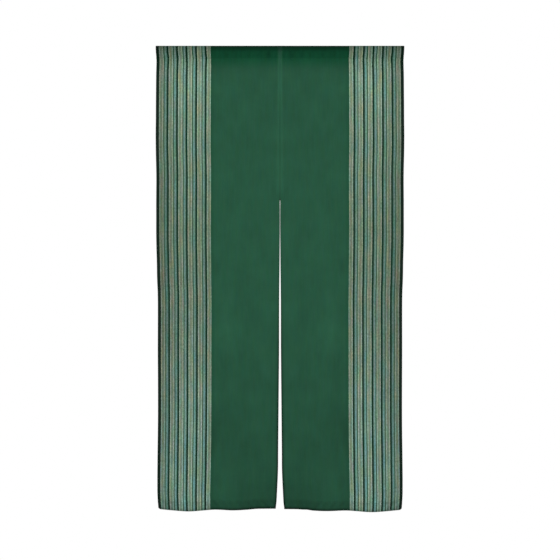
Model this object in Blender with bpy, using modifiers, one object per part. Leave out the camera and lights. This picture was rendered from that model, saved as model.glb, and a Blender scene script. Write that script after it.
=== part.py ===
"""A noren: a doorway curtain of two long cloth panels. They are seamed together
down the middle for the top third and hang free below it, with a slit between
them. The top of each panel is turned over to the back and stitched down, which
makes a pocket for a rod.

Metres, +Z up. The origin is the middle of the top edge, the cloth hangs in the
XZ plane, and its face looks along -Y.
"""

import math
from collections import namedtuple

import bmesh
import bpy

PANEL_WIDTH = 0.400
PANEL_DROP = 1.500
PANEL_GAP = 0.0003
GREATEST_SWELL = 0.77

CLOTH = 0.0012
HEM_THICKNESS = 0.0024
OUTER_HEM = 0.008
SLIT_HEM = 0.012
BOTTOM_HEM = 0.030
HEM_STEP = 0.002

POCKET_DROP = 0.040
POCKET_HALF_DEPTH = 0.0088
POCKET_SEGMENTS = 16

BOTTOM_CURL = 0.006
CURL_HEIGHT = 0.070
COLUMN_SPACING = 0.020
ROW_SPACING = 0.046

CLOTH_GREEN = (0.022, 0.089, 0.051, 1.0)
CLOTH_ROUGHNESS = 0.85

# A panel's two upright edges: how far the outer one is from the middle, and how
# far the inner one has drawn back to open the slit, at each drop below the top.
# The seam ends and the slit begins at a drop of 0.497.
Edge = namedtuple("Edge", "drop outer_edge slit_half_width")
EDGES = (
    Edge(0.000, 0.4004, 0.0000),
    Edge(0.046, 0.3980, 0.0000),
    Edge(0.095, 0.3996, 0.0000),
    Edge(0.290, 0.4004, 0.0000),
    Edge(0.430, 0.3990, 0.0000),
    Edge(0.497, 0.3992, 0.0000),
    Edge(0.600, 0.3995, 0.0004),
    Edge(0.690, 0.3973, 0.0010),
    Edge(0.810, 0.3936, 0.0023),
    Edge(1.000, 0.3940, 0.0029),
    Edge(1.110, 0.3931, 0.0035),
    Edge(1.250, 0.3936, 0.0049),
    Edge(1.400, 0.3951, 0.0072),
    Edge(1.450, 0.3945, 0.0097),
    Edge(1.500, 0.3928, 0.0137),
)

# The bottom edge: how far it is below the top, from the slit out to the sides.
Hemline = namedtuple("Hemline", "from_middle left_drop right_drop")
HEMLINE = (
    Hemline(0.000, 1.4942, 1.4958),
    Hemline(0.040, 1.4929, 1.4945),
    Hemline(0.075, 1.4940, 1.4965),
    Hemline(0.105, 1.4969, 1.4998),
    Hemline(0.150, 1.4985, 1.5010),
    Hemline(0.205, 1.4970, 1.4998),
    Hemline(0.250, 1.4995, 1.5020),
    Hemline(0.305, 1.5013, 1.5038),
    Hemline(0.345, 1.5002, 1.5028),
    Hemline(0.375, 1.4977, 1.5003),
    Hemline(0.388, 1.4962, 1.4988),
    Hemline(0.394, 1.4925, 1.4950),
)

# The soft folds of one panel. Each grows from nothing at the drop where it
# starts to its full depth. A positive depth stands out towards the viewer, and
# a positive lean carries the fold outwards as it goes down.
Fold = namedtuple("Fold", "from_middle half_width depth starts full lean")
FOLDS = {
    "panel_left": (
        Fold(0.000, 0.030, -0.0070, 1.20, 1.50, 0.000),
        Fold(0.046, 0.040, 0.0060, 0.50, 1.25, 0.004),
        Fold(0.093, 0.034, -0.0050, 0.35, 0.90, -0.006),
        Fold(0.145, 0.036, 0.0062, 0.30, 0.92, 0.010),
        Fold(0.212, 0.044, -0.0065, 0.22, 0.90, 0.006),
        Fold(0.290, 0.050, 0.0095, 0.30, 1.05, 0.000),
        Fold(0.395, 0.070, -0.0120, 0.50, 0.95, -0.012),
    ),
    "panel_right": (
        Fold(0.000, 0.028, -0.0080, 1.24, 1.50, 0.000),
        Fold(0.050, 0.042, 0.0048, 0.50, 1.20, 0.006),
        Fold(0.098, 0.036, -0.0056, 0.38, 0.86, -0.010),
        Fold(0.150, 0.038, 0.0070, 0.28, 0.95, 0.006),
        Fold(0.222, 0.046, -0.0058, 0.25, 0.85, 0.000),
        Fold(0.300, 0.052, 0.0085, 0.35, 1.10, -0.008),
        Fold(0.398, 0.072, -0.0110, 0.52, 1.00, -0.010),
    ),
}


def smooth_step(value, start, end):
    """0 before start, 1 after end, and an even S between them."""
    share = min(1.0, max(0.0, (value - start) / (end - start)))
    return share * share * (3.0 - 2.0 * share)


def bell(offset, half_width):
    """1 on the line of a fold and 0 from twice its half width outwards."""
    share = min(1.0, abs(offset) / (2.0 * half_width))
    return (0.5 + 0.5 * math.cos(math.pi * share)) ** 2


def read_curve(table, key, column, at):
    """A smooth curve through one column of a table, read at a value of its key.
    It is level where the values turn, so it never passes them."""
    keys = [getattr(row, key) for row in table]
    values = [getattr(row, column) for row in table]
    last = len(table) - 1
    at = min(keys[-1], max(keys[0], at))
    i = max(n for n in range(last) if keys[n] <= at)

    def slope(n):
        before, after = max(n - 1, 0), min(n + 1, last)
        turns_here = (values[n] - values[before]) * (values[after] - values[n]) <= 0
        rise = values[after] - values[before]
        return 0.0 if turns_here else rise / (keys[after] - keys[before])

    span = keys[i + 1] - keys[i]
    t = (at - keys[i]) / span
    return (
        values[i] * (2 * t**3 - 3 * t**2 + 1)
        + slope(i) * span * (t**3 - 2 * t**2 + t)
        + values[i + 1] * (3 * t**2 - 2 * t**3)
        + slope(i + 1) * span * (t**3 - t**2)
    )


def even_steps(start, end, spacing):
    """Values from start to end, both included, about one spacing apart."""
    count = max(1, round((end - start) / spacing))
    return [start + (end - start) * n / count for n in range(count + 1)]


def panel_columns():
    """Distances across a panel from its slit edge, with a step at each hem."""
    body_start = SLIT_HEM + HEM_STEP
    body_end = PANEL_WIDTH - OUTER_HEM - HEM_STEP
    body = even_steps(body_start, body_end, COLUMN_SPACING)
    slit_hem = [0.0, SLIT_HEM / 2, SLIT_HEM]
    outer_hem = [PANEL_WIDTH - OUTER_HEM, PANEL_WIDTH - OUTER_HEM / 2, PANEL_WIDTH]
    return slit_hem + body + outer_hem


def panel_rows():
    """Drops down a panel from the pocket's stitching to the bottom edge."""
    hem_top = PANEL_DROP - BOTTOM_HEM
    body = even_steps(POCKET_DROP, hem_top - HEM_STEP, ROW_SPACING)
    return body + [hem_top, PANEL_DROP - BOTTOM_HEM / 2, PANEL_DROP]


def fold_depth(name, from_middle, drop):
    """How far the folds and the curl of the bottom bring the cloth forward."""
    depth = 0.0
    for fold in FOLDS[name]:
        growth = smooth_step(drop, fold.starts, fold.full)
        line = fold.from_middle + fold.lean * growth
        depth += fold.depth * growth * bell(from_middle - line, fold.half_width)
    curl_share = max(0.0, drop - (PANEL_DROP - CURL_HEIGHT)) / CURL_HEIGHT
    return depth - BOTTOM_CURL * curl_share**2


def cloth_point(name, side, across, drop):
    """A point of the hanging cloth below the pocket's stitching."""
    slit_half_width = read_curve(EDGES, "drop", "slit_half_width", drop)
    slit_edge = PANEL_GAP / 2 + slit_half_width
    outer_edge = read_curve(EDGES, "drop", "outer_edge", drop)
    from_middle = slit_edge + (outer_edge - slit_edge) * across / PANEL_WIDTH
    column = "left_drop" if side < 0 else "right_drop"
    hem_drop = read_curve(HEMLINE, "from_middle", column, from_middle)
    hanging = (drop - POCKET_DROP) / (PANEL_DROP - POCKET_DROP)
    sagged = drop + (hem_drop - PANEL_DROP) * hanging**3
    return side * from_middle, -fold_depth(name, from_middle, drop), -sagged


def pocket_point(name, side, across, turn):
    """A point of the rod pocket, whose section is a drop standing on its tip.
    The turn runs from the tip up the face, over the top and down the back."""
    angle = 2.0 * math.pi * turn
    drop = POCKET_DROP * (0.5 + 0.5 * math.cos(angle))
    swell = math.sin(angle) * math.sin(angle / 2)
    x, y, _ = cloth_point(name, side, across, drop)
    return x, y - POCKET_HALF_DEPTH * swell / GREATEST_SWELL, -drop


def hem_share(across, drop):
    """1 where the cloth is turned back into a hem and 0 where it is single."""
    in_hem = across <= SLIT_HEM or across >= PANEL_WIDTH - OUTER_HEM
    return 1.0 if in_hem or drop >= PANEL_DROP - BOTTOM_HEM else 0.0


def cloth_material():
    material = bpy.data.materials.new("green_cotton")
    material.use_nodes = True
    shader = material.node_tree.nodes["Principled BSDF"]
    shader.inputs["Base Color"].default_value = CLOTH_GREEN
    shader.inputs["Roughness"].default_value = CLOTH_ROUGHNESS
    shader.inputs["Metallic"].default_value = 0.0
    return material


def shaped_grid(name, side):
    """One sheet from the bottom edge up to the stitching and round the pocket.
    Returns it with the vertices that lie in a hem."""
    columns = panel_columns()
    rows = panel_rows()[::-1]
    # The walls run straight for a step at the tip, where they would meet if they bent.
    turns = [n / POCKET_SEGMENTS for n in range(2, POCKET_SEGMENTS - 1)] + [1.0]
    row_count = len(rows) + len(turns)
    grid = bmesh.new()
    bmesh.ops.create_grid(
        grid, x_segments=len(columns) - 1, y_segments=row_count - 1, size=0.5
    )
    layer = grid.verts.layers.deform.verify()
    for vertex in grid.verts:
        across = columns[round((vertex.co.x + 0.5) * (len(columns) - 1))]
        row = round((vertex.co.y + 0.5) * (row_count - 1))
        if row < len(rows):
            drop = rows[row]
            vertex.co = cloth_point(name, side, across, drop)
        else:
            drop = 0.0
            vertex.co = pocket_point(name, side, across, turns[row - len(rows)])
        vertex[layer][0] = hem_share(across, drop)
    bmesh.ops.remove_doubles(grid, verts=grid.verts, dist=1e-5)
    bmesh.ops.recalc_face_normals(grid, faces=grid.faces)
    return grid


def make_panel(name, side, collection, material):
    grid = shaped_grid(name, side)
    mesh = bpy.data.meshes.new(name)
    grid.to_mesh(mesh)
    grid.free()
    mesh.materials.append(material)
    mesh.shade_smooth()
    panel = bpy.data.objects.new(name, mesh)
    # The sheet is the middle of the cloth, so this puts the outside of its top at zero.
    panel.location.z = -HEM_THICKNESS / 2
    collection.objects.link(panel)
    panel.vertex_groups.new(name="hem")

    thickness = panel.modifiers.new("cloth", "SOLIDIFY")
    thickness.solidify_mode = "NON_MANIFOLD"
    thickness.nonmanifold_thickness_mode = "EVEN"
    thickness.thickness = HEM_THICKNESS
    thickness.offset = 0.0
    thickness.vertex_group = "hem"
    thickness.thickness_vertex_group = CLOTH / HEM_THICKNESS
    thickness.nonmanifold_merge_threshold = 0.00001
    return panel


def main():
    for obj in list(bpy.data.objects):
        bpy.data.objects.remove(obj)
    noren = bpy.data.collections.new("noren")
    bpy.context.scene.collection.children.link(noren)
    material = cloth_material()
    make_panel("panel_left", -1, noren, material)
    make_panel("panel_right", 1, noren, material)


main()
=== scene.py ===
"""The looks of a noren, a split doorway curtain of striped cotton. Each panel is one
continuous sheet with its turned hems and its rod pocket, hanging in the soft folds
of its solid, with the sewing that holds it."""

import math
from collections import namedtuple

import bpy
import numpy as np
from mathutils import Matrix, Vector


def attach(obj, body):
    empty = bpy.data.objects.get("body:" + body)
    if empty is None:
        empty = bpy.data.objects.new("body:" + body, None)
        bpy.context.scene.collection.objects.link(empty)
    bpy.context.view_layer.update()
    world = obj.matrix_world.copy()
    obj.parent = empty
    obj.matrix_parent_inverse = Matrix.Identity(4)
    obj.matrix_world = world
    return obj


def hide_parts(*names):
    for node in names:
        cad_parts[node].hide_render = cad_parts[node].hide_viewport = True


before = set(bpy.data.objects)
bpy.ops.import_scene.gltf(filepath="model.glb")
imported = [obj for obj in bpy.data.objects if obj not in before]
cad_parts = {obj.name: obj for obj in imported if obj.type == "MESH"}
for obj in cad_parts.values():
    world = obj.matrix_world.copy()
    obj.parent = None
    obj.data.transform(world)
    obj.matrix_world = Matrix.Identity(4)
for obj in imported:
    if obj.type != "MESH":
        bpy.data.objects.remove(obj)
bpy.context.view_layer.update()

MM = 0.001

# Sizes that the solids share, in metres.
PANEL_WIDTH = 0.400
PANEL_DROP = 1.500
OUTER_HEM = 0.008
SLIT_HEM = 0.012
BOTTOM_HEM = 0.030
POCKET_DROP = 0.040
POCKET_HALF_DEPTH = 0.0088
GREATEST_SWELL = 0.77
BOTTOM_CURL = 0.006
CURL_HEIGHT = 0.070
SHEET_TOP = 0.0001
SEAM_DROP = 0.495

# The cloth itself: plies lie one pitch apart, and the outermost one is a little
# in front of the solids' middle surface.
CLOTH = 0.00045
PLY_PITCH = 0.00055
FACE_LIFT = -0.00035
HEM_PLIES = 3
HEM_BLEND = 0.003
POCKET_LIP = 0.0022
POCKET_TUCK = 0.008
SLIT_TUCK = 0.010
OUTER_TUCK = 0.0062
BOTTOM_TUCK = 0.010
TURN_WIDTH = 0.0003
# How near the middle of the curtain a ply may come. It is less than half the cloth,
# so that the panels are pressed together at the seam and show no light.
SEAM_HALF_GAP = 0.00018
# How far beside each point the slope of the cloth is read.
SLOPE_STEP = 0.0004

# The relief that sewing leaves: raised hems, edges that roll back, and dimples.
HEM_RAISE = 0.0006
SLIT_ROLL = 0.0016
OUTER_ROLL = 0.0014
ROLL_WIDTH = 0.005
STITCH_DIMPLE = 0.0003

# Rows of stitches: how far they are from their hem's inner edge, how many plies the
# thread is outside the first one, and how far it is in front of the seam.
SIDE_ROW_INSET = 0.0015
BOTTOM_ROW_INSET = 0.002
THREAD_PLY = -0.55
TACK_FORWARD = 0.0007
SEAM_FORWARD = -0.0026
HEM_STITCH = {"Pitch": 0.0032, "Length": 0.0026, "Thread": 0.0005, "Slant": 0.0}
SEAM_STITCH = {"Pitch": 0.005, "Length": 0.004, "Thread": 0.0005, "Slant": math.radians(65.0)}
TACK_STITCH = {"Pitch": 0.00045, "Length": 0.006, "Thread": 0.0005, "Slant": math.radians(90.0)}

# Each panel's side of the middle, and where its small waves start, so that the two
# panels aren't alike.
SIDE = {"left": -1.0, "right": 1.0}
WAVE_PHASE = {"left": 0.0, "right": 2.1}
BLOTCH_PHASE = {"left": 0.0, "right": 1.9}
DRAWN_PHASE = {"left": 0.4, "right": 1.5}

# Painted light and shade: how much lighter the cloth's colour is painted for each metre
# that it stands out, in the ripples of the sewing and in the creases, and darker where it sinks.
RIPPLE_SHADE = 75.0
CREASE_SHADE = 34.0

# A panel's two upright edges, for each drop below the top, in millimetres: how far
# the outer one is from the middle, and how far the inner one has drawn back.
Edge = namedtuple("Edge", "drop outer_edge slit_half_width")
EDGES = (
    Edge(0, 400.7, 0.0),
    Edge(22, 399.8, 0.0),
    Edge(44, 398.4, 0.0),
    Edge(94, 399.5, 0.0),
    Edge(143, 399.9, 0.0),
    Edge(190, 400.3, 0.0),
    Edge(240, 400.5, 0.0),
    Edge(288, 401.0, 0.0),
    Edge(336, 400.6, 0.0),
    Edge(433, 398.9, 0.0),
    Edge(493, 399.3, 0.0),
    Edge(502, 399.4, 0.70),
    Edge(535, 399.4, 0.55),
    Edge(594, 399.5, 0.62),
    Edge(645, 398.9, 0.95),
    Edge(697, 397.6, 1.4),
    Edge(748, 396.9, 1.95),
    Edge(800, 395.0, 2.5),
    Edge(858, 394.6, 2.8),
    Edge(974, 394.9, 2.95),
    Edge(1090, 394.4, 3.95),
    Edge(1168, 394.3, 4.7),
    Edge(1245, 394.7, 5.4),
    Edge(1323, 395.7, 6.1),
    Edge(1361, 396.0, 6.2),
    Edge(1400, 396.4, 7.5),
    Edge(1439, 396.4, 9.4),
    Edge(1477, 395.2, 11.4),
    Edge(1500, 393.8, 13.7),
)

# The bottom edge: how far it is below the top, from the slit out to the sides.
Hemline = namedtuple("Hemline", "from_middle left_drop right_drop")
HEMLINE = (
    Hemline(0, 1494.2, 1495.8),
    Hemline(40, 1492.9, 1494.5),
    Hemline(56, 1493.2, 1494.7),
    Hemline(73, 1493.9, 1496.4),
    Hemline(89, 1495.5, 1497.3),
    Hemline(105, 1497.0, 1499.8),
    Hemline(150, 1498.1, 1500.4),
    Hemline(205, 1497.1, 1499.9),
    Hemline(250, 1499.2, 1501.6),
    Hemline(300, 1501.3, 1503.8),
    Hemline(345, 1499.8, 1502.2),
    Hemline(379, 1497.4, 1499.8),
    Hemline(389, 1496.0, 1498.4),
    Hemline(394, 1492.0, 1494.5),
)

# The soft folds of one panel, as in the solids: each grows from nothing where it
# starts to its full depth. A positive depth stands out, and a positive lean
# carries the fold outwards as it goes down.
Fold = namedtuple("Fold", "from_middle half_width depth starts full lean")
FOLDS = {
    "left": (
        Fold(0.000, 0.030, -0.0070, 1.20, 1.50, 0.000),
        Fold(0.046, 0.040, 0.0060, 0.50, 1.25, 0.004),
        Fold(0.093, 0.034, -0.0050, 0.35, 0.90, -0.006),
        Fold(0.145, 0.036, 0.0062, 0.30, 0.92, 0.010),
        Fold(0.212, 0.044, -0.0065, 0.22, 0.90, 0.006),
        Fold(0.290, 0.050, 0.0095, 0.30, 1.05, 0.000),
        Fold(0.395, 0.070, -0.0120, 0.50, 0.95, -0.012),
    ),
    "right": (
        Fold(0.000, 0.028, -0.0080, 1.24, 1.50, 0.000),
        Fold(0.050, 0.042, 0.0048, 0.50, 1.20, 0.006),
        Fold(0.098, 0.036, -0.0056, 0.38, 0.86, -0.010),
        Fold(0.150, 0.038, 0.0070, 0.28, 0.95, 0.006),
        Fold(0.222, 0.046, -0.0058, 0.25, 0.85, 0.000),
        Fold(0.300, 0.052, 0.0085, 0.35, 1.10, -0.008),
        Fold(0.398, 0.072, -0.0110, 0.52, 1.00, -0.010),
    ),
}

# The main creases: soft troughs and ridges that come and go down the length. Their
# lean is how far outwards they go for each metre down.
Crease = namedtuple("Crease", "from_middle drop half_width half_length depth lean")
CREASES = {
    "left": (
        Crease(0.042, 0.17, 0.014, 0.06, -0.0009, 0.00),
        Crease(0.182, 0.89, 0.034, 0.11, 0.0048, 0.03),
        Crease(0.083, 0.86, 0.018, 0.10, -0.0020, 0.04),
        Crease(0.074, 1.04, 0.024, 0.05, -0.0028, 0.06),
        Crease(0.148, 1.22, 0.022, 0.09, -0.0024, -0.06),
        Crease(0.217, 1.28, 0.013, 0.06, -0.0048, 0.04),
        Crease(0.276, 1.29, 0.014, 0.05, 0.0026, 0.00),
        Crease(0.184, 1.43, 0.025, 0.06, 0.0054, 0.10),
        Crease(0.242, 1.41, 0.014, 0.05, -0.0018, 0.08),
        Crease(0.160, 0.54, 0.018, 0.04, -0.0011, 0.20),
        Crease(0.206, 0.73, 0.011, 0.04, -0.0026, 0.00),
        Crease(0.262, 0.74, 0.018, 0.12, 0.0010, 0.06),
        Crease(0.336, 1.12, 0.021, 0.16, -0.0010, -0.05),
        Crease(0.366, 0.55, 0.024, 0.05, -0.0028, 0.04),
        Crease(0.380, 0.77, 0.014, 0.03, -0.0028, 0.00),
        Crease(0.362, 1.40, 0.028, 0.06, 0.0022, 0.06),
    ),
    "right": (
        Crease(0.044, 0.18, 0.015, 0.06, -0.0010, 0.02),
        Crease(0.178, 0.90, 0.033, 0.12, 0.0050, 0.02),
        Crease(0.080, 0.85, 0.019, 0.11, -0.0022, 0.03),
        Crease(0.070, 1.03, 0.025, 0.05, -0.0026, 0.08),
        Crease(0.150, 1.21, 0.021, 0.09, -0.0025, -0.06),
        Crease(0.216, 1.27, 0.013, 0.06, -0.0050, 0.05),
        Crease(0.274, 1.30, 0.014, 0.05, 0.0024, 0.00),
        Crease(0.182, 1.43, 0.026, 0.06, 0.0056, 0.08),
        Crease(0.240, 1.40, 0.014, 0.05, -0.0018, 0.06),
        Crease(0.157, 0.54, 0.019, 0.04, -0.0012, 0.18),
        Crease(0.204, 0.72, 0.011, 0.04, -0.0025, 0.00),
        Crease(0.270, 0.77, 0.018, 0.11, 0.0009, 0.04),
        Crease(0.330, 1.09, 0.020, 0.17, -0.0010, -0.03),
        Crease(0.364, 0.56, 0.025, 0.05, -0.0026, 0.05),
        Crease(0.380, 0.78, 0.014, 0.03, -0.0026, 0.00),
        Crease(0.360, 1.39, 0.028, 0.06, 0.0023, 0.05),
    ),
}

# Puckers that the pocket's stitching draws up, the strongest ones near the seam.
Pucker = namedtuple("Pucker", "from_middle half_width depth")
PUCKERS = (
    Pucker(0.021, 0.005, 0.0012),
    Pucker(0.037, 0.007, -0.0030),
    Pucker(0.054, 0.005, 0.0016),
    Pucker(0.071, 0.007, -0.0014),
    Pucker(0.098, 0.008, -0.0016),
    Pucker(0.118, 0.006, 0.0012),
    Pucker(0.151, 0.007, 0.0013),
    Pucker(0.176, 0.006, -0.0018),
    Pucker(0.247, 0.007, -0.0014),
    Pucker(0.268, 0.006, 0.0013),
    Pucker(0.331, 0.008, -0.0015),
    Pucker(0.372, 0.006, 0.0012),
)
PUCKER_DROP = 0.030
PUCKER_REACH = 0.013

# The stripes from one light band to the next, as width in millimetres and colour.
# The first of the pale yarns is beside the dark selvedge. The repeats end with one
# last light band, and then the plain ground begins, that far from the slit.
Stripe = namedtuple("Stripe", "width colour")
DARK_SELVEDGE = 10.5
STRIPE_REPEAT = (
    Stripe(2.7, "A3BAA2"),
    Stripe(8.3, "7F947A"),
    Stripe(2.7, "A3BAA2"),
    Stripe(3.2, "36563F"),
    Stripe(1.8, "688C7C"),
    Stripe(3.5, "7AA393"),
    Stripe(2.2, "688C7C"),
    Stripe(6.3, "153526"),
)
REPEAT_WIDTH = sum(stripe.width for stripe in STRIPE_REPEAT)
STRIPE_REPEATS = 5
LAST_BAND = 12.8
SOFT_EDGE = 0.35
GROUND_WIDTH = 0.213
SELVEDGE_GREEN = "12241A"
BORDER_GREEN = "22503A"
GROUND_GREEN = "26543E"
THREAD_GREEN = "224A37"

# The real threads of the weave are about 0.7 mm apart. They are drawn twice as
# coarse, so that they show.
WEAVE_PITCH = 1.4

# How light the pale yarns are down the length, and how much more red and blue than
# green they hold: they are palest near the two ends, warmest in the middle and
# coolest near the hem.
PaleDye = namedtuple("PaleDye", "drop strength red blue")
PALE_DYE = (
    PaleDye(0.00, 1.08, 1.00, 1.03),
    PaleDye(0.05, 1.03, 1.00, 1.03),
    PaleDye(0.10, 0.95, 1.01, 1.03),
    PaleDye(0.20, 0.92, 1.00, 1.02),
    PaleDye(0.30, 0.82, 1.00, 1.02),
    PaleDye(0.40, 0.74, 1.01, 1.03),
    PaleDye(0.52, 0.72, 1.03, 1.01),
    PaleDye(0.69, 0.66, 1.03, 1.01),
    PaleDye(0.82, 0.70, 1.07, 1.05),
    PaleDye(0.92, 0.70, 1.04, 1.05),
    PaleDye(1.02, 0.77, 1.02, 1.06),
    PaleDye(1.14, 0.83, 1.01, 1.09),
    PaleDye(1.24, 0.92, 0.95, 1.10),
    PaleDye(1.35, 0.94, 0.96, 1.10),
    PaleDye(1.46, 0.98, 0.93, 1.09),
)

# The studio: how strong its white is as a light, the floor, a card that shades the
# top, the camera with the height that it sees at the curtain, and the lamps.
DOME_LIGHT = 0.36
FLOOR_DROP = 1.80
FLAG_DISTANCE = 0.50
FLAG_BOTTOM = 0.100
FLAG_HEIGHT = 0.17
FLAG_WIDTH = 2.8
CAMERA_DISTANCE = 6.0
VIEW_SPAN = 1.8065
VIEW_CENTRE_DROP = 0.7549
SENSOR = 36.0
SoftBox = namedtuple("SoftBox", "name place target width height power")
SOFT_BOXES = (
    SoftBox("front_softbox", (-0.9, -9.2, 2.3), (0.0, 0.0, -0.3), 2.4, 2.2, 636.0),
    SoftBox("back_softbox", (0.9, 3.4, -0.3), (0.0, 0.0, -0.6), 2.0, 1.6, 60.0),
)


def linear_colour(code):
    """An sRGB hex colour as linear red, green and blue and a full alpha."""
    levels = np.array([int(code[n : n + 2], 16) for n in (0, 2, 4)]) / 255
    linear = np.where(levels <= 0.04045, levels / 12.92, ((levels + 0.055) / 1.055) ** 2.4)
    return [*linear.tolist(), 1.0]


def smooth_step(value, start, end):
    """0 before start, 1 after end, and an even S between them."""
    share = np.clip((value - start) / (end - start), 0.0, 1.0)
    return share * share * (3.0 - 2.0 * share)


def bell(offset, half_width):
    """1 on the line of a fold and 0 from twice its half width outwards."""
    share = np.minimum(1.0, np.abs(offset) / (2.0 * half_width))
    return (0.5 + 0.5 * np.cos(np.pi * share)) ** 2


def read_curve(table, column, at):
    """A smooth curve through one column of a table in millimetres, read at values of
    its first column in metres. It is level where the values turn."""
    keys = np.array([row[0] for row in table]) * MM
    values = np.array([getattr(row, column) for row in table]) * MM
    rise = np.diff(values)
    slopes = np.zeros(len(table))
    steady = rise[:-1] * rise[1:] > 0
    slopes[1:-1] = np.where(steady, (values[2:] - values[:-2]) / (keys[2:] - keys[:-2]), 0.0)
    i = np.clip(np.searchsorted(keys, at, side="right") - 1, 0, len(table) - 2)
    span = keys[i + 1] - keys[i]
    t = np.clip((at - keys[i]) / span, 0.0, 1.0)
    return (
        values[i] * (2 * t**3 - 3 * t**2 + 1)
        + slopes[i] * span * (t**3 - 2 * t**2 + t)
        + values[i + 1] * (3 * t**2 - 2 * t**3)
        + slopes[i + 1] * span * (t**3 - t**2)
    )


def distance_walked(xs, ys):
    """How far each point of a path is from its first one, along the path."""
    return np.concatenate([[0.0], np.cumsum(np.hypot(np.diff(xs), np.diff(ys)))])


def pocket_section(turn):
    """Drop and swell of the pocket's wall, from its tip (0) to its top (0.5)."""
    angle = 2.0 * np.pi * turn
    drop = POCKET_DROP * (0.5 + 0.5 * np.cos(angle))
    swell = POCKET_HALF_DEPTH * np.sin(angle) * np.sin(angle / 2) / GREATEST_SWELL
    return drop, swell


# How far the cloth has run from the fold at the top, for even steps of the turn.
POCKET_TURNS = np.linspace(0.5, 0.0, 200)
POCKET_RUNS = distance_walked(*pocket_section(POCKET_TURNS))
POCKET_RUN = POCKET_RUNS[-1]
PANEL_RUN = POCKET_RUN + PANEL_DROP - POCKET_DROP


def plies_at(across):
    """How many plies lie on each other: three in the side hems, and one between."""
    slit_share = 1.0 - smooth_step(across, SLIT_HEM, SLIT_HEM + HEM_BLEND)
    outer_start = PANEL_WIDTH - OUTER_HEM
    outer_share = smooth_step(across, outer_start - HEM_BLEND, outer_start)
    return 1.0 + (HEM_PLIES - 1) * np.maximum(slit_share, outer_share)


def innermost_ply(across):
    """The last ply of the pile where the cloth is turned up twice, counted from 0."""
    return HEM_PLIES * plies_at(across) - 1.0


def fold_depth(name, from_middle, drop):
    """How far the folds and the curl of the bottom bring the cloth forward."""
    depth = 0.0
    for fold in FOLDS[name]:
        growth = smooth_step(drop, fold.starts, fold.full)
        line = fold.from_middle + fold.lean * growth
        depth = depth + fold.depth * growth * bell(from_middle - line, fold.half_width)
    curl_share = np.maximum(0.0, drop - (PANEL_DROP - CURL_HEIGHT)) / CURL_HEIGHT
    return depth - BOTTOM_CURL * curl_share**2


def crease_depth(name, from_middle, drop):
    """How far the creases bring the cloth forward."""
    depth = 0.0
    for crease in CREASES[name]:
        below = drop - crease.drop
        line = crease.from_middle + crease.lean * below
        strength = crease.depth * bell(below, crease.half_length)
        depth = depth + strength * bell(from_middle - line, crease.half_width)
    return depth


def slack_depth(name, from_middle, drop):
    """How far the cloth is from flat between its folds and creases. The seam holds
    both panels at the same depth."""
    phase = WAVE_PHASE[name]
    broad = np.sin(from_middle * 58 + drop * 9 + phase) * np.sin(drop * 13 + 1.7 + phase)
    narrow = np.sin(from_middle * 91 - drop * 17 + 0.6 + phase)
    seamed = bell(from_middle, 0.03) * (1.0 - smooth_step(drop, SEAM_DROP, SEAM_DROP + 0.12))
    depth = 0.0005 * broad + 0.0004 * narrow
    return depth * smooth_step(drop, POCKET_DROP, 0.25) * (1.0 - seamed)


def pucker_relief(name, from_middle, drop):
    """How far the puckers above the pocket's stitching stand out."""
    phase = WAVE_PHASE[name]
    relief = 0.00035 * np.sin(from_middle * 290 + phase)
    relief = relief + 0.00025 * np.sin(from_middle * 467 + 1.3 + phase)
    for pucker in PUCKERS:
        relief = relief + pucker.depth * bell(from_middle - pucker.from_middle, pucker.half_width)
    return relief * bell(drop - PUCKER_DROP, PUCKER_REACH)


def hem_relief(name, from_middle, drop):
    """The slanting ripples of the bottom hem, which is twisted a little as it is sewn."""
    phase = WAVE_PHASE[name]
    in_hem = bell(drop - (PANEL_DROP - 0.017), BOTTOM_HEM / 2)
    slant = from_middle + 0.9 * (drop - PANEL_DROP)
    uneven = 0.7 + 0.5 * np.sin(from_middle * 31 + 0.8 + phase)
    ripple = 0.0009 * np.sin(slant * 225 + phase) + 0.0004 * np.sin(slant * 387 + 1.9 + phase)
    return in_hem * uneven * ripple


def near_stitching(across, drop):
    """1 on the rows of stitches, and 0 from about 2.5 mm beside them."""
    slit_row = bell(across - (SLIT_HEM - SIDE_ROW_INSET), 0.0012)
    outer_row = bell(PANEL_WIDTH - across - (OUTER_HEM - SIDE_ROW_INSET), 0.0012)
    hem_row = bell(drop - (PANEL_DROP - BOTTOM_HEM + BOTTOM_ROW_INSET), 0.0013)
    pocket_row = bell(drop - POCKET_DROP, 0.0013)
    return np.maximum(np.maximum(slit_row + outer_row, hem_row), pocket_row)


def rolled_back(from_edge):
    """1 at an edge that rolls back, and 0 from where its roll starts."""
    return np.clip(1.0 - from_edge / ROLL_WIDTH, 0.0, 1.0) ** 2


def sewn_depth(name, across, from_middle, drop):
    """The small relief that sewing leaves: raised hems that roll back at their
    edges, dimples along the stitching, puckers in the pocket and a twisted hem."""
    sewn_shut = 1.0 - smooth_step(drop, SEAM_DROP - 0.02, SEAM_DROP + 0.03)
    return (
        HEM_RAISE * (plies_at(across) - 1.0) / (HEM_PLIES - 1)
        - SLIT_ROLL * (1.0 - 0.6 * sewn_shut) * rolled_back(across)
        - OUTER_ROLL * rolled_back(PANEL_WIDTH - across)
        - STITCH_DIMPLE * near_stitching(across, drop)
        + pucker_relief(name, from_middle, drop)
        + hem_relief(name, from_middle, drop)
    )


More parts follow.
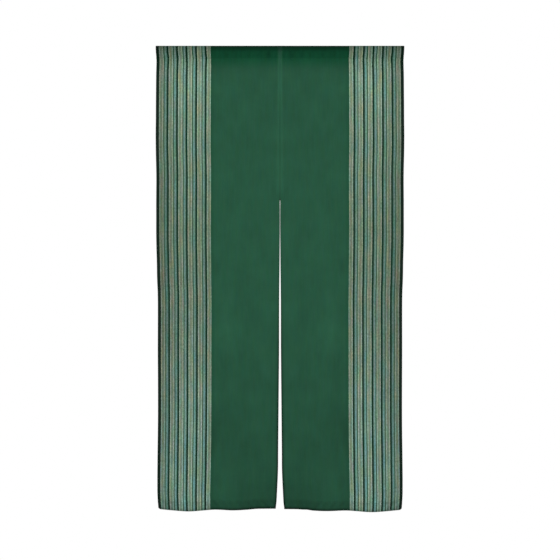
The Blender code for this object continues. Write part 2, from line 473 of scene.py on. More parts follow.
def outside_of_cloth(name, across, along):
    """Points of the cloth's face for places on the flat panel: across from the slit
    edge, and along from the fold at the top, which is negative down the pocket's back."""
    across, along = np.broadcast_arrays(across, along)
    run = np.abs(along)
    section_drop, swell = pocket_section(np.interp(run, POCKET_RUNS, POCKET_TURNS))
    drop = section_drop + np.maximum(0.0, run - POCKET_RUN)
    inner = np.maximum(SEAM_HALF_GAP, read_curve(EDGES, "slit_half_width", drop))
    outer = read_curve(EDGES, "outer_edge", drop)
    from_middle = inner + (outer - inner) * across / PANEL_WIDTH

    # The pocket's stitching draws the cloth beside it a little to and fro.
    near_pocket = bell(drop - POCKET_DROP, 0.017)
    inside_edges = smooth_step(across, 0.0, 0.03) * smooth_step(PANEL_WIDTH - across, 0.0, 0.03)
    drawn_aside = 0.0009 * np.sin(from_middle * 150 + DRAWN_PHASE[name])
    from_middle = from_middle + drawn_aside * near_pocket * inside_edges

    hem_drop = read_curve(HEMLINE, f"{name}_drop", from_middle)
    hanging = np.clip((drop - POCKET_DROP) / (PANEL_DROP - POCKET_DROP), 0.0, 1.0)
    sagged = drop + (hem_drop - PANEL_DROP) * hanging**3
    forward = (
        fold_depth(name, from_middle, drop)
        + crease_depth(name, from_middle, drop)
        + slack_depth(name, from_middle, drop)
        + sewn_depth(name, across, from_middle, drop)
    )
    # The back of the pocket is sewn on behind its own tuck and the face.
    behind_them = smooth_step(run, 0.4 * POCKET_RUN, POCKET_RUN)
    stack = innermost_ply(across) * PLY_PITCH * behind_them
    forward = forward + np.where(along < 0.0, -swell - stack, swell)
    return np.stack([SIDE[name] * from_middle, -forward, SHEET_TOP - sagged], axis=-1)


def cloth_points(name, across, along, ply):
    """Points of a ply, counted from the outside of the cloth towards its wrong side."""

    def direction(across_step, along_step):
        """The way that the cloth runs, between two places close beside each point."""
        beyond = outside_of_cloth(name, across + across_step, along + along_step)
        return beyond - outside_of_cloth(name, across - across_step, along - along_step)

    inward = SIDE[name] * np.cross(direction(SLOPE_STEP, 0.0), direction(0.0, SLOPE_STEP))
    inward /= np.linalg.norm(inward, axis=-1, keepdims=True)
    depth = FACE_LIFT + np.asarray(ply)[..., None] * PLY_PITCH
    points = outside_of_cloth(name, across, along) + inward * depth
    # No ply crosses the seam to the other panel.
    points[..., 0] = SIDE[name] * np.maximum(SEAM_HALF_GAP, SIDE[name] * points[..., 0])
    return points


# A corner of the path that the folded cloth takes: its place on the flat panel, its
# ply, how far it is turned over, and the spacing of the points on the way to it. One
# of a metre adds no points between corners.
Corner = namedtuple("Corner", "place ply flipped spacing")
NO_POINTS = 1.0


def turned_edge(at, inward):
    """The corners of a hem's fold round the cloth's edge, from its last ply to ply 0."""
    last_ply = HEM_PLIES - 1.0
    radius = last_ply / 2 * PLY_PITCH
    return [
        Corner(at + inward * radius, last_ply, 1.0, NO_POINTS),
        Corner(at + inward * radius * 0.3, last_ply * 0.85, 0.85, NO_POINTS),
        Corner(at, last_ply * 0.5, 0.5, NO_POINTS),
        Corner(at + inward * radius * 0.3, last_ply * 0.15, 0.15, NO_POINTS),
        Corner(at + inward * radius, 0.0, 0.0, NO_POINTS),
    ]


def double_hem(at, inward, width, tuck, spacing):
    """A hem turned twice, from the raw edge tucked inside it out to the face."""
    fold = at + inward * width
    raw_edge = fold - inward * tuck
    beside_fold = fold - inward * TURN_WIDTH
    first, *others = turned_edge(at, inward)
    return [
        Corner(raw_edge, 1.0, 0.0, spacing),
        Corner(beside_fold, 1.0, 0.0, spacing),
        Corner(fold, 1.5, 0.5, NO_POINTS),
        Corner(beside_fold, 2.0, 1.0, NO_POINTS),
        first._replace(spacing=spacing),
        *others,
    ]


def backwards(corners, approach):
    """The same corners walked the other way, with the spacing of the way to the first."""
    spacings = [approach, *(corner.spacing for corner in corners[:0:-1])]
    return [
        corner._replace(spacing=spacing) for corner, spacing in zip(corners[::-1], spacings)
    ]


def walk(corners):
    """Places, plies and flips along a folded path, with points between its corners,
    and the distance walked on the flat cloth."""
    rows = [corners[0][:3]]
    for start, end in zip(corners, corners[1:]):
        count = max(1, round(abs(end.place - start.place) / end.spacing))
        for n in range(1, count + 1):
            share = n / count
            rows.append([a + (b - a) * share for a, b in zip(start[:3], end[:3])])
    place, ply, flipped = np.array(rows).T
    return place, ply, flipped, distance_walked(place, ply * PLY_PITCH)


def across_the_cloth():
    """The way across a panel: slit hem, face, outer hem."""
    slit_hem = double_hem(0.0, 1.0, SLIT_HEM, SLIT_TUCK, 0.004)
    outer_hem = double_hem(PANEL_WIDTH, -1.0, OUTER_HEM, OUTER_TUCK, 0.004)
    return walk(
        [
            *slit_hem,
            Corner(SLIT_HEM + 0.004, 0.0, 0.0, 0.0016),
            Corner(PANEL_WIDTH - OUTER_HEM - 0.004, 0.0, 0.0, 0.0042),
            Corner(PANEL_WIDTH - OUTER_HEM, 0.0, 0.0, 0.0016),
            *backwards(outer_hem, 0.002),
        ]
    )


def along_the_cloth():
    """The way down a panel: the pocket's tuck and back, its face, the cloth, the hem."""
    back_end = -(POCKET_RUN + POCKET_LIP)
    hem = double_hem(PANEL_RUN, -1.0, BOTTOM_HEM, BOTTOM_TUCK, 0.0022)
    return walk(
        [
            Corner(back_end + POCKET_TUCK, 1.0, 1.0, NO_POINTS),
            Corner(back_end + TURN_WIDTH, 1.0, 1.0, 0.003),
            Corner(back_end, 0.5, 0.5, NO_POINTS),
            Corner(back_end + TURN_WIDTH, 0.0, 0.0, NO_POINTS),
            Corner(0.0, 0.0, 0.0, 0.0026),
            Corner(POCKET_RUN, 0.0, 0.0, 0.0022),
            Corner(POCKET_RUN + 0.026, 0.0, 0.0, 0.002),
            Corner(PANEL_RUN - BOTTOM_HEM - 0.006, 0.0, 0.0, 0.0058),
            *backwards(hem, 0.0022),
        ]
    )


def total_ply(across, side_ply, stack, flipped):
    """A ply's place in the whole pile where a side hem lies in a turned-up end."""
    plies = plies_at(across)
    turned_over = plies - 1.0 - side_ply
    return stack * plies + side_ply + (turned_over - side_ply) * flipped


def painted_seam_light_and_shade(across, drop):
    """How much paler the pressed seam is painted, a painted highlight, but for a dark line of
    painted shade in its middle.
    """
    width = 0.006 + 0.005 * smooth_step(drop, 0.10, 0.30)
    strength = (
        0.42
        - 0.12 * smooth_step(drop, 0.03, 0.07)
        - 0.16 * smooth_step(drop, 0.10, 0.32)
        - 0.10 * bell(drop - 0.285, 0.035)
    )
    pressed = 1.0 - smooth_step(across, width - 0.005, width + 0.005)
    sewn_shut = 1.0 - smooth_step(drop, SEAM_DROP - 0.035, SEAM_DROP - 0.004)
    return (strength * pressed - 0.06 * bell(across, 0.0012)) * sewn_shut


def painted_slit_shade_and_light(across, drop):
    """How much darker the slit's hem and its fold are painted, in painted shade further down as
    if they let no light through, and how much paler the line beside the hem is, a painted
    highlight."""
    hem = 1.0 - smooth_step(across, 0.0, SLIT_HEM + 0.001)
    fold = 1.0 - smooth_step(across, 0.0015, 0.0070)
    fold_strength = 0.26 + 0.12 * smooth_step(drop, 1.10, 1.40)
    beside_hem = bell(across - SLIT_HEM - 0.003, 0.002) * smooth_step(drop, 0.85, 1.2)
    opaque = smooth_step(drop, 0.50, 1.20)
    return opaque * (0.40 * hem + fold_strength * fold) - 0.06 * beside_hem


def painted_bottom_shade(across, drop, on_ground, blotches):
    """Painted shade: how much darker the bottom hem, its fold and the corner at the slit are
    painted.
    """
    from_bottom = PANEL_DROP - drop
    hem = 1.0 - smooth_step(from_bottom, BOTTOM_HEM - 0.004, BOTTOM_HEM + 0.006)
    fold = 1.0 - smooth_step(from_bottom, 0.0015, 0.0115)
    corner = (1.0 - smooth_step(across, 0.07, 0.14)) * smooth_step(drop, 1.38, 1.44)
    return (0.12 + 0.06 * blotches) * hem + (0.34 + 0.20 * on_ground) * fold + 0.12 * corner


def shade_of_cloth(name, across, run):
    """Painted light and shade: the share of colour that shows at each place of the flat panel.
    Single cloth is painted lighter, as if it glowed with the light behind it, while hems
    and the pocket are painted darker, as if they let none through."""
    phase = BLOTCH_PHASE[name]
    drop = run - POCKET_RUN + POCKET_DROP
    on_ground = 1.0 - smooth_step(across, GROUND_WIDTH, GROUND_WIDTH + 0.012)
    blotches = 0.5 + 0.25 * np.sin(across * 210 + drop * 90 + phase)
    blotches = blotches + 0.25 * np.sin(across * 433 - drop * 150 + 1.1 + phase)

    # Painted shade: the doubled pocket is painted darker, in blotches.
    in_pocket = 1.0 - smooth_step(drop, 0.022, POCKET_DROP + 0.002)
    # Painted shade on the fold at the top, deepest on the ground.
    top_fold = (0.16 + 0.30 * on_ground) * (1.0 - smooth_step(run, 0.010, 0.028))
    # Painted shade along the fold of the outer edge.
    outer_fold = 0.15 * (1.0 - smooth_step(PANEL_WIDTH - across, 0.0, 0.003))
    # Painted shade: darker towards the bottom, starting higher up on the ground.
    painted_shade_below = 0.07 * smooth_step(drop, 1.08, 1.38)
    painted_shade_below = painted_shade_below + 0.05 * on_ground * smooth_step(drop, 0.96, 1.12)
    # Painted shade and light: hollows between the small ripples of the sewing are painted darker
    # than their crests.
    ripples = pucker_relief(name, across, drop) + 1.6 * hem_relief(name, across, drop)
    return (
        (1.0 - (0.05 + 0.10 * blotches) * in_pocket)
        * (1.0 - top_fold)
        * (1.0 - outer_fold)
        * (1.0 - painted_shade_below)
        * np.clip(1.0 + RIPPLE_SHADE * ripples, 0.6, 1.2)
        # Painted light and shade: creases that stand out are painted lighter, hollows darker.
        * (1.0 + CREASE_SHADE * crease_depth(name, across, drop))
        * (1.0 + painted_seam_light_and_shade(across, drop))
        * (1.0 - painted_slit_shade_and_light(across, drop))
        * (1.0 - painted_bottom_shade(across, drop, on_ground, blotches))
    )


def grid_mesh(name, points, flat_x, flat_y, shade):
    """A mesh of a grid of points, with a UV map in metres of flat cloth."""
    rows, columns = points.shape[:2]
    index = np.arange(rows * columns).reshape(rows, columns)
    quads = np.stack([index[:-1, :-1], index[:-1, 1:], index[1:, 1:], index[1:, :-1]], axis=-1)
    mesh = bpy.data.meshes.new(name)
    mesh.from_pydata(points.reshape(-1, 3).tolist(), [], quads.reshape(-1, 4).tolist())
    flat = np.stack(np.broadcast_arrays(flat_x[None, :], flat_y[:, None]), axis=-1).reshape(-1, 2)
    corners = np.empty(len(mesh.loops), dtype=np.int32)
    mesh.loops.foreach_get("vertex_index", corners)
    cloth_map = mesh.uv_layers.new(name="cloth")
    cloth_map.uv.foreach_set("vector", flat[corners].astype(np.float32).ravel())
    shades = mesh.attributes.new("shade", "FLOAT", "POINT")
    shades.data.foreach_set("value", shade.astype(np.float32).ravel())
    mesh.shade_smooth()
    return mesh


def in_scene(name, data):
    """A new object that stands in the scene."""
    made = bpy.data.objects.new(name, data)
    bpy.context.scene.collection.objects.link(made)
    return made


def plain_mesh(obj, name):
    """Replaces an object by a new one with its evaluated mesh and no modifiers."""
    evaluated = obj.evaluated_get(bpy.context.evaluated_depsgraph_get())
    mesh = bpy.data.meshes.new_from_object(evaluated)
    mesh.name = name
    bpy.data.objects.remove(obj)
    return in_scene(name, mesh)


def make_cloth(name, material):
    """One panel as a single sheet, and the width and length that it was cut to."""
    across, side_ply, _, walked_across = across_the_cloth()
    along, stack, flipped, walked_along = along_the_cloth()
    columns, rows = np.meshgrid(across, along)
    ply = total_ply(columns, side_ply[None, :], stack[:, None], flipped[:, None])
    points = cloth_points(name, columns, rows, ply)
    shade = shade_of_cloth(name, columns, np.abs(rows))
    # The flat map starts at the outer edge of the face and at the fold of the pocket.
    from_outer_edge = walked_across[np.argmax(across)] - walked_across
    from_top_fold = walked_along - walked_along[np.argmin(np.abs(along))]
    mesh = grid_mesh(f"cloth_{name}", points, from_outer_edge, from_top_fold, shade)
    mesh.materials.append(material)
    sheet = in_scene(f"cloth_{name}_sheet", mesh)
    thickness = sheet.modifiers.new("cloth", "SOLIDIFY")
    thickness.thickness = CLOTH
    thickness.offset = 0.0
    return plain_mesh(sheet, f"cloth_{name}"), (float(walked_across[-1]), float(walked_along[-1]))


def add_node(tree, kind, inputs=None, **settings):
    """Adds a node with its settings, and sets or links its inputs by name or index."""
    node = tree.nodes.new(kind)
    for key, value in settings.items():
        setattr(node, key, value)
    for key, value in (inputs or {}).items():
        if isinstance(value, bpy.types.NodeSocket):
            tree.links.new(value, node.inputs[key])
        else:
            node.inputs[key].default_value = value
    return node


def stitch_tree():
    """Geometry nodes that lay one stitch after another along a path."""
    tree = bpy.data.node_groups.new("stitches", "GeometryNodeTree")
    tree.interface.new_socket("Geometry", in_out="INPUT", socket_type="NodeSocketGeometry")
    for label, value in HEM_STITCH.items():
        socket = tree.interface.new_socket(label, in_out="INPUT", socket_type="NodeSocketFloat")
        socket.default_value = value
    tree.interface.new_socket("Material", in_out="INPUT", socket_type="NodeSocketMaterial")
    tree.interface.new_socket("Geometry", in_out="OUTPUT", socket_type="NodeSocketGeometry")
    given = add_node(tree, "NodeGroupInput").outputs

    path = add_node(tree, "GeometryNodeMeshToCurve", {"Mesh": given["Geometry"]})
    row = add_node(
        tree,
        "GeometryNodeResampleCurve",
        {"Curve": path.outputs["Curve"], "Length": given["Pitch"]},
        mode="LENGTH",
    )
    tangent = add_node(tree, "GeometryNodeInputTangent")
    direction = add_node(
        tree,
        "ShaderNodeVectorRotate",
        {"Vector": tangent.outputs[0], "Axis": (0.0, 1.0, 0.0), "Angle": given["Slant"]},
    )
    turn = add_node(
        tree, "FunctionNodeAlignRotationToVector", {"Vector": direction.outputs[0]}, axis="Z"
    )
    size = add_node(
        tree,
        "ShaderNodeCombineXYZ",
        {"X": given["Thread"], "Y": given["Thread"], "Z": given["Length"]},
    )
    bead = add_node(tree, "GeometryNodeMeshUVSphere", {"Segments": 6, "Rings": 4, "Radius": 0.5})
    uneven = add_node(
        tree, "FunctionNodeRandomValue", {2: 0.88, 3: 1.1, "Seed": 7}, data_type="FLOAT"
    )
    scale = add_node(
        tree,
        "ShaderNodeVectorMath",
        {0: size.outputs[0], "Scale": uneven.outputs[1]},
        operation="SCALE",
    )
    stitches = add_node(
        tree,
        "GeometryNodeInstanceOnPoints",
        {
            "Points": row.outputs["Curve"],
            "Instance": bead.outputs["Mesh"],
            "Rotation": turn.outputs[0],
            "Scale": scale.outputs[0],
        },
    )
    real = add_node(tree, "GeometryNodeRealizeInstances", {"Geometry": stitches.outputs[0]})
    finished = add_node(
        tree,
        "GeometryNodeSetMaterial",
        {"Geometry": real.outputs[0], "Material": given["Material"]},
    )
    add_node(tree, "NodeGroupOutput", {"Geometry": finished.outputs[0]})
    return tree


def stitch_along(name, paths, tree, material, sizes):
    """A piece with stitches laid along each of the paths, which are lists of points."""
    points = []
    edges = []
    for path in paths:
        first = len(points)
        points.extend(path.tolist())
        edges.extend((n, n + 1) for n in range(first, len(points) - 1))
    mesh = bpy.data.meshes.new(name)
    mesh.from_pydata(points, edges, [])
    guide = in_scene(f"{name}_path", mesh)
    laid = guide.modifiers.new("stitches", "NODES")
    laid.node_group = tree
    sockets = {s.name: s.identifier for s in tree.interface.items_tree if s.in_out == "INPUT"}
    for label, value in {**sizes, "Material": material}.items():
        laid[sockets[label]] = value
    made = plain_mesh(guide, name)
    made.data.shade_smooth()
    return made


def upright_stitch_paths(name, across):
    """A side hem's two rows of stitches, on the front and the back of the cloth."""
    top = POCKET_RUN + 0.004
    front = np.linspace(top, PANEL_RUN - 0.003, 330)
    back = np.linspace(top, PANEL_RUN - BOTTOM_HEM - 0.001, 320)
    return [
        cloth_points(name, across, front, THREAD_PLY),
        cloth_points(name, across, back, HEM_PLIES - 1.0 - THREAD_PLY),
    ]


def level_stitch_paths(name):
    """The rows of stitches along the bottom hem and the pocket, front and back."""
    level = np.linspace(0.0015, PANEL_WIDTH - 0.0015, 130)
    hem_row = PANEL_RUN - BOTTOM_HEM + BOTTOM_ROW_INSET
    return [
        cloth_points(name, level, hem_row, THREAD_PLY),
        cloth_points(name, level, hem_row, innermost_ply(level) - THREAD_PLY),
        cloth_points(name, level, POCKET_RUN, THREAD_PLY),
        cloth_points(name, level, -POCKET_RUN - 0.0005, THREAD_PLY),
    ]


def seam_path(from_drop, to_drop, forward):
    """A line straight down the middle of the seam, in front of the cloth or behind."""
    along = np.linspace(from_drop, to_drop, 80) - POCKET_DROP + POCKET_RUN
    points = cloth_points("left", 0.001, along, 0.0)
    points[:, 0] = 0.0
    points[:, 1] -= forward
    return points


def principled(name, roughness, sheen, specular):
    """A new material, its node tree and its Principled shader."""
    material = bpy.data.materials.new(name)
    material.use_nodes = True
    shader = material.node_tree.nodes["Principled BSDF"]
    shader.inputs["Roughness"].default_value = roughness
    shader.inputs["Sheen Weight"].default_value = sheen
    shader.inputs["Sheen Roughness"].default_value = 0.5
    shader.inputs["Specular IOR Level"].default_value = specular
    return material, material.node_tree, shader


def striped_colour(tree, repeats):
    """The dyed colour at a place that is given in stripe repeats from the selvedge."""
    in_repeat = add_node(tree, "ShaderNodeMath", {0: repeats}, operation="FRACT")
    ramp = add_node(tree, "ShaderNodeValToRGB", {"Fac": in_repeat.outputs[0]})
    stops = ramp.color_ramp.elements
    stops[0].position = 0.0
    stops[0].color = linear_colour(STRIPE_REPEAT[0].colour)
    stops.remove(stops[1])
    edge = 0.0
    for stripe, following in zip(STRIPE_REPEAT, STRIPE_REPEAT[1:]):
        edge += stripe.width
        for side, colour in ((-SOFT_EDGE, stripe.colour), (SOFT_EDGE, following.colour)):
            stops.new((edge + side) / REPEAT_WIDTH).color = linear_colour(colour)

    # Plain cloth lies on both sides of the stripes.
    soft = SOFT_EDGE / REPEAT_WIDTH
    last_edge = STRIPE_REPEATS + LAST_BAND / REPEAT_WIDTH
    colour = ramp.outputs[0]
    plain_parts = (
        (0.0, -soft, SELVEDGE_GREEN),
        (last_edge, soft, BORDER_GREEN),
        (last_edge + 0.32, 0.10, GROUND_GREEN),
    )
    for edge, past_edge, plain in plain_parts:
        beyond = add_node(
            tree,
            "ShaderNodeMapRange",
            {"Value": repeats, "From Min": edge - past_edge, "From Max": edge + past_edge},
        )
        joined = add_node(
            tree,
            "ShaderNodeMix",
            {0: beyond.outputs[0], 6: colour, 7: linear_colour(plain)},
            data_type="RGBA",
        )
        colour = joined.outputs[2]
    return colour


def stretched_noise(tree, flat, wide, long, detail):
    """Noise on the flat cloth, with features of the given width and length in mm."""
    place = add_node(
        tree,
        "ShaderNodeVectorMath",
        {0: flat, 1: (1 / (wide * MM), 1 / (long * MM), 1.0)},
        operation="MULTIPLY",
    )
    noise = add_node(
        tree,
        "ShaderNodeTexNoise",
        {"Vector": place.outputs[0], "Scale": 1.0, "Detail": detail, "Roughness": 0.6},
        noise_dimensions="2D",
    )
    return noise.outputs


def pale_yarn_dye(tree, length, repeats, pale):
    """The share of red, green and blue that pale yarns keep, and all on the ground."""
    down = add_node(tree, "ShaderNodeMapRange", {"Value": length, "From Max": PANEL_DROP})
    dye = add_node(tree, "ShaderNodeValToRGB", {"Fac": down.outputs[0]})
    stops = dye.color_ramp.elements
    stops.remove(stops[1])
    for number, row in enumerate(PALE_DYE):
        stop = stops.new(row.drop / PANEL_DROP) if number else stops[0]
        # A colour ramp holds no values above 1, so it holds half values.
        stop.color = [0.5 * row.strength * share for share in (row.red, 1.0, row.blue)] + [1.0]
    # The first two bands are duller, and the ramp's half values are doubled.
    outer_bands = add_node(
        tree,
        "ShaderNodeMapRange",
        {"Value": repeats, "From Min": 0.3, "From Max": 2.3, "To Min": 1.47, "To Max": 2.0},
    )
    kept = add_node(
        tree,
        "ShaderNodeVectorMath",
        {0: dye.outputs[0], "Scale": outer_bands.outputs[0]},
        operation="SCALE",
    )
    where_pale = add_node(
        tree,
        "ShaderNodeMix",
        {0: pale, 6: (1.0, 1.0, 1.0, 1.0), 7: kept.outputs[0]},
        data_type="RGBA",
    )
    return where_pale.outputs[2]


def dye_patches(tree, flat, pale):
    """Patches some centimetres long where the yarns turn from olive to blue-grey."""
    noise = stretched_noise(tree, flat, 9.0, 60.0, 1.5)["Color"]
    amount = add_node(tree, "ShaderNodeMix", {0: pale, 2: 0.35, 3: 1.0})
    centred = add_node(
        tree, "ShaderNodeVectorMath", {0: noise, 1: (0.5, 0.5, 0.5)}, operation="SUBTRACT"
    )
    change = add_node(
        tree,
        "ShaderNodeVectorMath",
        {0: centred.outputs[0], "Scale": amount.outputs[0]},
        operation="SCALE",
    )
    patches = add_node(
        tree,
        "ShaderNodeVectorMath",
        {0: change.outputs[0], 1: (0.86, 0.25, 0.68), 2: (1.0, 1.0, 1.0)},
        operation="MULTIPLY_ADD",
    )
    return patches.outputs[0]


def painted_pocket_bounce(tree, place, pale):
    """Painted light: more of the green where the pocket's ground is doubled, painted in for light
    that goes from ply to ply there. The pressed seam keeps its greyer tint."""
    below_deepest = add_node(
        tree, "ShaderNodeMath", {0: place["Y"], 1: 0.026}, operation="SUBTRACT"
    )
    from_deepest = add_node(
        tree, "ShaderNodeMath", {0: below_deepest.outputs[0]}, operation="ABSOLUTE"
    )
    # Each of the two shares falls from 1 to 0 between two distances in metres.
    fades = (
        (from_deepest.outputs[0], 0.018, 0.054),
        (place["X"], 0.391, 0.397),
    )
    in_pocket, off_seam = (
        add_node(
            tree,
            "ShaderNodeMapRange",
            {"Value": value, "From Min": start, "From Max": end, "To Min": 1.0, "To Max": 0.0},
        )
        for value, start, end in fades
    )
    share = add_node(
        tree,
        "ShaderNodeMath",
        {0: in_pocket.outputs[0], 1: off_seam.outputs[0]},
        operation="MULTIPLY",
    )
    on_ground = add_node(tree, "ShaderNodeMix", {0: pale, 2: share.outputs[0], 3: 0.0})
    deepened = add_node(
        tree,
        "ShaderNodeMix",
        {0: on_ground.outputs[0], 6: (1.0, 1.0, 1.0, 1.0), 7: (0.35, 1.0, 0.8, 1.0)},
        data_type="RGBA",
    )
    return deepened.outputs[2]


def uneven_yarn(tree, shade, pale, amounts):
    """The painted shade of the cloth with noises on it, each by its amount on the ground and
    on pale yarns."""
    lightness = shade
    for noise, on_ground, on_pale in amounts:
        amount = add_node(tree, "ShaderNodeMix", {0: pale, 2: on_ground, 3: on_pale})
        centred = add_node(tree, "ShaderNodeMath", {0: noise, 1: 0.5}, operation="SUBTRACT")
        factor = add_node(
            tree,
            "ShaderNodeMath",
            {0: centred.outputs[0], 1: amount.outputs[0], 2: 1.0},
            operation="MULTIPLY_ADD",
        )
        product = add_node(
            tree, "ShaderNodeMath", {0: lightness, 1: factor.outputs[0]}, operation="MULTIPLY"
        )
        lightness = product.outputs[0]
    return lightness


def woven_relief(tree, place, speckles):
    """The bump of a plain weave, with the thick and thin places of its yarns."""
    half_turns = math.pi / (WEAVE_PITCH * MM)
    crossings = []
    for axis in ("X", "Y"):
        phase = add_node(
            tree, "ShaderNodeMath", {0: place[axis], 1: half_turns}, operation="MULTIPLY"
        )
        wave = add_node(tree, "ShaderNodeMath", {0: phase.outputs[0]}, operation="SINE")
        crossings.append(wave.outputs[0])
    over_under = add_node(
        tree, "ShaderNodeMath", {0: crossings[0], 1: crossings[1]}, operation="MULTIPLY"
    )
    height = add_node(
        tree,
        "ShaderNodeMath",
        {0: over_under.outputs[0], 1: 0.5, 2: speckles},
        operation="MULTIPLY_ADD",
    )
    bump = add_node(
        tree,
        "ShaderNodeBump",
        {"Strength": 0.5, "Distance": 0.0001, "Height": height.outputs[0]},
    )
    return bump.outputs[0]


def woven_cotton():
    """Yarn-dyed plain-weave cotton: matt, a little fuzzy, with uneven hand-dyed yarns
    that run the whole length and a plain weave in low relief."""
    material, tree, shader = principled("yarn_dyed_cotton", 0.92, 0.04, 0.08)
    flat = add_node(tree, "ShaderNodeUVMap", uv_map="cloth").outputs[0]
    place = add_node(tree, "ShaderNodeSeparateXYZ", {0: flat}).outputs
    # The painted light and shade from the cloth's shade attribute scales its colour.
    shade = add_node(tree, "ShaderNodeAttribute", attribute_name="shade").outputs["Fac"]
    past_selvedge = add_node(
        tree, "ShaderNodeMath", {0: place["X"], 1: DARK_SELVEDGE * MM}, operation="SUBTRACT"
    )
    repeats = add_node(
        tree,
        "ShaderNodeMath",
        {0: past_selvedge.outputs[0], 1: REPEAT_WIDTH * MM},
        operation="DIVIDE",
    ).outputs[0]
    colour = striped_colour(tree, repeats)

    # How pale the yarn is, from 0 on the dark ground to 1 in the light bands.
    green = add_node(tree, "ShaderNodeSeparateColor", {0: colour}).outputs[1]
    pale = add_node(
        tree, "ShaderNodeMapRange", {"Value": green, "From Min": 0.09, "From Max": 0.20}
    ).outputs[0]

    factors = (
        dye_patches(tree, flat, pale),
        painted_pocket_bounce(tree, place, pale),
        pale_yarn_dye(tree, place["Y"], repeats, pale),
    )
    for factor in factors:
        product = add_node(
            tree, "ShaderNodeVectorMath", {0: colour, 1: factor}, operation="MULTIPLY"
        )
        colour = product.outputs[0]

    # Streaks along the yarns, slubs across them, specks, and broad clouds of dye.
    speckles = stretched_noise(tree, flat, 2.4, 7.0, 1.0)["Fac"]
    amounts = (
        (stretched_noise(tree, flat, 2.4, 90.0, 2.0)["Fac"], 0.14, 0.70),
        (stretched_noise(tree, flat, 24.0, 2.6, 1.0)["Fac"], 0.05, 0.34),
        (speckles, 0.06, 1.00),
        (stretched_noise(tree, flat, 60.0, 90.0, 2.0)["Fac"], 0.30, 0.22),
    )
    shaded = add_node(
        tree,
        "ShaderNodeVectorMath",
        {0: colour, "Scale": uneven_yarn(tree, shade, pale, amounts)},
        operation="SCALE",
    )
    tree.links.new(shaded.outputs[0], shader.inputs["Base Color"])
    tree.links.new(woven_relief(tree, place, speckles), shader.inputs["Normal"])
    return material


def sewing_thread(name, code):
    """Spun polyester sewing thread: smoother than the cloth, with a faint gloss."""
    material, tree, shader = principled(name, 0.6, 0.05, 0.3)
    place = add_node(tree, "ShaderNodeTexCoord")
    twist = add_node(
        tree,
        "ShaderNodeTexNoise",
        {"Vector": place.outputs["Object"], "Scale": 900.0, "Detail": 1.0},
    )
    base = linear_colour(code)
    darkest, lightest = ([level * share for level in base] for share in (0.8, 1.25))
    tint = add_node(
        tree,
        "ShaderNodeMix",
        {0: twist.outputs[0], 6: darkest, 7: lightest},
        data_type="RGBA",
    )
    tree.links.new(tint.outputs[2], shader.inputs["Base Color"])
    return material


def white_strength(tree):
    """The strength of the studio's white, which is brighter to the camera than the
    light it gives."""
    ray = add_node(tree, "ShaderNodeLightPath")
    level = add_node(
        tree,
        "ShaderNodeMapRange",
        {"Value": ray.outputs["Is Camera Ray"], "To Min": DOME_LIGHT, "To Max": 1.0},
    )
    return level.outputs[0]


def paper_white():
    """Glowing white paper. It is clear from below, so that a low view isn't blocked."""
    material = bpy.data.materials.new("studio_white")
    material.use_nodes = True
    tree = material.node_tree
    tree.nodes.clear()
    white = add_node(tree, "ShaderNodeEmission", {"Strength": white_strength(tree)})
    clear = add_node(tree, "ShaderNodeBsdfTransparent")
    facing = add_node(tree, "ShaderNodeNewGeometry")
    both = add_node(
        tree,
        "ShaderNodeMixShader",
        {0: facing.outputs["Backfacing"], 1: white.outputs[0], 2: clear.outputs[0]},
    )
    add_node(tree, "ShaderNodeOutputMaterial", {0: both.outputs[0]})
    return material


def make_studio():
    """A white floor and sky, a soft light in front of the cloth and a weaker behind."""
    bpy.ops.mesh.primitive_plane_add(size=60.0, location=(0.0, 0.0, -FLOOR_DROP))
    floor = bpy.context.object
    floor.name = "studio_floor"
    floor.data.materials.append(paper_white())

    world = bpy.data.worlds.new("studio")
    bpy.context.scene.world = world
    world.use_nodes = True
    sky = world.node_tree.nodes["Background"]
    sky.inputs["Color"].default_value = (1.0, 1.0, 1.0, 1.0)
    world.node_tree.links.new(white_strength(world.node_tree), sky.inputs["Strength"])

    for box in SOFT_BOXES:
        light = bpy.data.lights.new(box.name, "AREA")
        light.shape = "RECTANGLE"
        light.size = box.width
        light.size_y = box.height
        light.energy = box.power
        lamp = in_scene(box.name, light)
        lamp.location = box.place
        aim = Vector(box.target) - Vector(box.place)
        lamp.rotation_euler = aim.to_track_quat("-Z", "Y").to_euler()


def make_flag():
    """A black card just in front of the top, out of the camera's sight, that shades
    the pocket from the front light with a soft edge below it."""
    bpy.ops.mesh.primitive_plane_add(
        size=1.0,
        location=(0.0, -FLAG_DISTANCE, FLAG_BOTTOM + FLAG_HEIGHT / 2),
        rotation=(math.radians(90.0), 0.0, 0.0),
    )
    flag = bpy.context.object
    flag.name = "light_flag"
    flag.scale = (FLAG_WIDTH, FLAG_HEIGHT, 1.0)
    flag.visible_camera = False
    black = bpy.data.materials.new("black_card")
    black.use_nodes = True
    shader = black.node_tree.nodes["Principled BSDF"]
    shader.inputs["Base Color"].default_value = (0.0, 0.0, 0.0, 1.0)
    flag.data.materials.append(black)


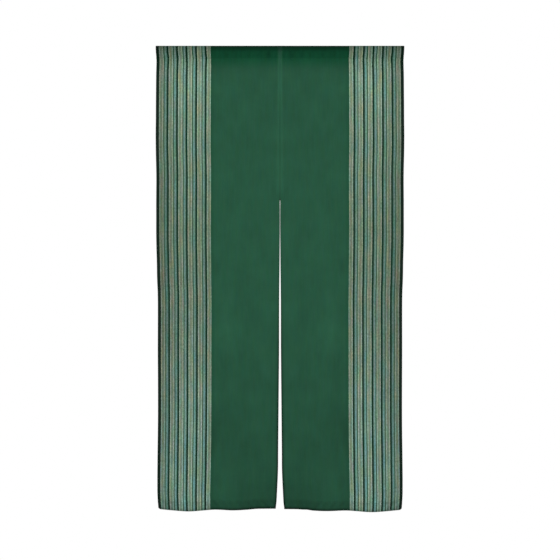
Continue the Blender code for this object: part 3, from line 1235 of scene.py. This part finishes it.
def make_camera():
    """Level with the middle of the picture, far off, square on to the cloth."""
    lens = bpy.data.cameras.new("camera")
    lens.sensor_width = SENSOR
    lens.lens = SENSOR * CAMERA_DISTANCE / VIEW_SPAN
    camera = in_scene("camera", lens)
    camera.location = (0.0, -CAMERA_DISTANCE, -VIEW_CENTRE_DROP)
    camera.rotation_euler = (math.radians(90.0), 0.0, 0.0)
    bpy.context.scene.camera = camera


def make_seam(stitches, thread):
    """The sewing that both panels share: the seam's stitches, which show from behind,
    and the bar tack that ends it, on both faces."""
    tack = (SEAM_DROP - 0.0015, SEAM_DROP + 0.0025)
    tack_paths = [seam_path(*tack, TACK_FORWARD), seam_path(*tack, SEAM_FORWARD)]
    seam_paths = [seam_path(POCKET_DROP + 0.006, SEAM_DROP, SEAM_FORWARD)]
    return [
        stitch_along("seam_stitching", seam_paths, stitches, thread, SEAM_STITCH),
        stitch_along("bar_tack", tack_paths, stitches, thread, TACK_STITCH),
    ]


def make_hem_sewing(name, stitches, thread, dark_thread):
    """A panel's own rows of stitches. Those in its dark selvedge are of dark thread."""
    slit_row = SLIT_HEM - SIDE_ROW_INSET
    outer_row = PANEL_WIDTH - OUTER_HEM + SIDE_ROW_INSET
    green_paths = level_stitch_paths(name) + upright_stitch_paths(name, slit_row)
    dark_paths = upright_stitch_paths(name, outer_row)
    return [
        stitch_along(f"stitching_{name}", green_paths, stitches, thread, HEM_STITCH),
        stitch_along(f"side_stitching_{name}", dark_paths, stitches, dark_thread, HEM_STITCH),
    ]


def ride_as_cloth(pieces):
    """Makes pieces move with the body."""
    for piece in pieces:
        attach(piece, "root")


def main():
    bpy.context.scene.view_settings.view_transform = "Standard"
    make_camera()
    make_studio()
    make_flag()

    cotton = woven_cotton()
    thread = sewing_thread("green_sewing_thread", THREAD_GREEN)
    dark_thread = sewing_thread("dark_sewing_thread", SELVEDGE_GREEN)
    stitches = stitch_tree()
    shared = make_seam(stitches, thread)
    ride_as_cloth(shared)

    for name in ("left", "right"):
        cloth, flat = make_cloth(name, cotton)
        sewing = make_hem_sewing(name, stitches, thread, dark_thread)
        ride_as_cloth([cloth, *sewing])
        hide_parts(f"panel_{name}")


main()
